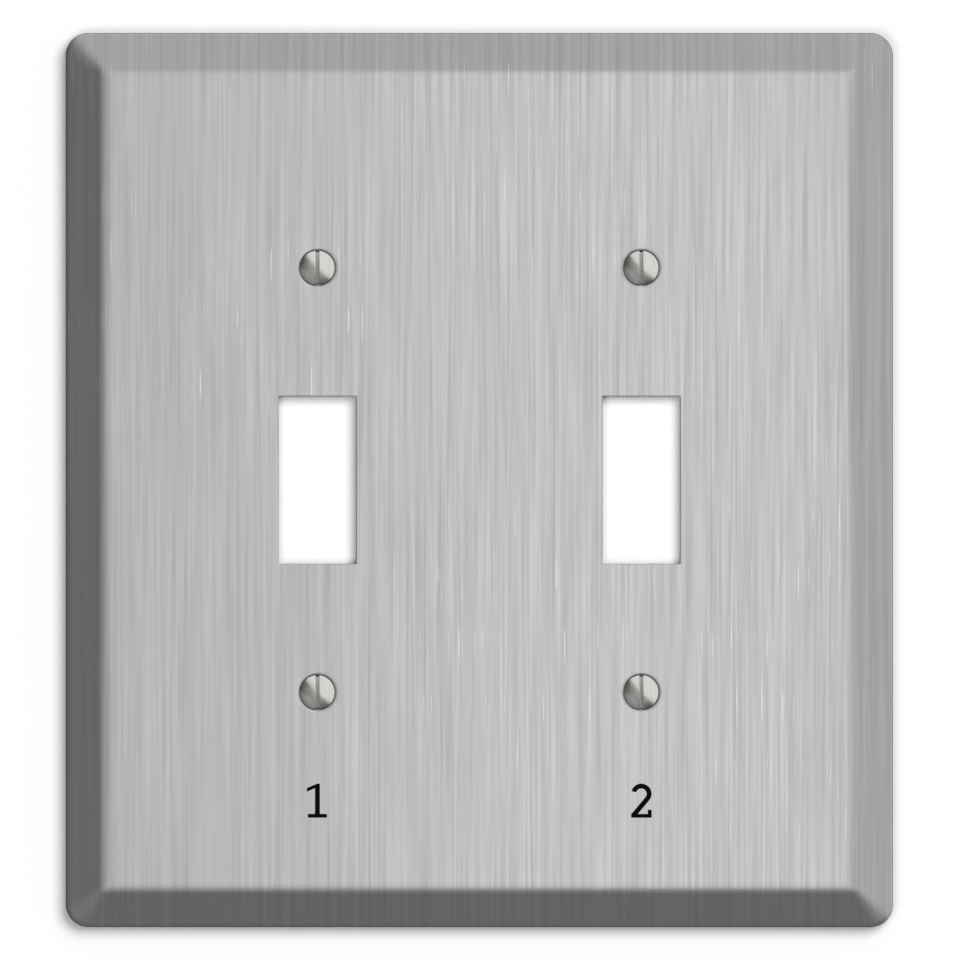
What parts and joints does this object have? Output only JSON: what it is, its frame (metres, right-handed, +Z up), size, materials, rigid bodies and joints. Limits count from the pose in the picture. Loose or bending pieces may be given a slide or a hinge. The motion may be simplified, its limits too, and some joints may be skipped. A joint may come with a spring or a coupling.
{
  "type": "toggle switch wall plate",
  "caption": "Bevelled brushed-steel wall plate with toggle switch openings side by side, held by slotted oval-head screws that stay captive on fibre washers.",
  "frame": {"origin": "centre of the plane of the rim's back edge, which lies on the wall", "axes": "+Z up the wall, +X to the right seen from in front, +Y into the wall; the face looks along -Y"},
  "size_m": [0.1174, 0.0134, 0.127],
  "materials": {
    "brushed_plate": "stainless steel, brushed in long upright lines",
    "plated_screw": "bright nickel plate on steel, satin, slotted oval head",
    "fibre_washer": "red vulcanised fibre, dull"
  },
  "bodies": {
    "plate": {"cover_plate": "brushed_plate"},
    "washer_upper_left": {"retaining_washer_upper_left": "fibre_washer"},
    "screw_upper_left": {"screw_upper_left": "plated_screw"},
    "washer_upper_right": {"retaining_washer_upper_right": "fibre_washer"},
    "screw_upper_right": {"screw_upper_right": "plated_screw"},
    "washer_lower_left": {"retaining_washer_lower_left": "fibre_washer"},
    "screw_lower_left": {"screw_lower_left": "plated_screw"},
    "washer_lower_right": {"retaining_washer_lower_right": "fibre_washer"},
    "screw_lower_right": {"screw_lower_right": "plated_screw"}
  },
  "joints": [
    {"name": "screw_upper_left_travel", "type": "slide", "parent": "plate", "child": "washer_upper_left", "axis": [0, -1, 0], "range_m": [0, 0.0022]},
    {"name": "screw_upper_left_turn", "type": "hinge", "parent": "washer_upper_left", "child": "screw_upper_left", "pos_m": [-0.02302, -0.006, 0.03017], "axis": [0, -1, 0], "continuous": true},
    {"name": "screw_upper_right_travel", "type": "slide", "parent": "plate", "child": "washer_upper_right", "axis": [0, -1, 0], "range_m": [0, 0.0022]},
    {"name": "screw_upper_right_turn", "type": "hinge", "parent": "washer_upper_right", "child": "screw_upper_right", "pos_m": [0.02302, -0.006, 0.03017], "axis": [0, -1, 0], "continuous": true},
    {"name": "screw_lower_left_travel", "type": "slide", "parent": "plate", "child": "washer_lower_left", "axis": [0, -1, 0], "range_m": [0, 0.0022]},
    {"name": "screw_lower_left_turn", "type": "hinge", "parent": "washer_lower_left", "child": "screw_lower_left", "pos_m": [-0.02302, -0.006, -0.03017], "axis": [0, -1, 0], "continuous": true},
    {"name": "screw_lower_right_travel", "type": "slide", "parent": "plate", "child": "washer_lower_right", "axis": [0, -1, 0], "range_m": [0, 0.0022]},
    {"name": "screw_lower_right_turn", "type": "hinge", "parent": "washer_lower_right", "child": "screw_lower_right", "pos_m": [0.02302, -0.006, -0.03017], "axis": [0, -1, 0], "continuous": true}
  ]
}
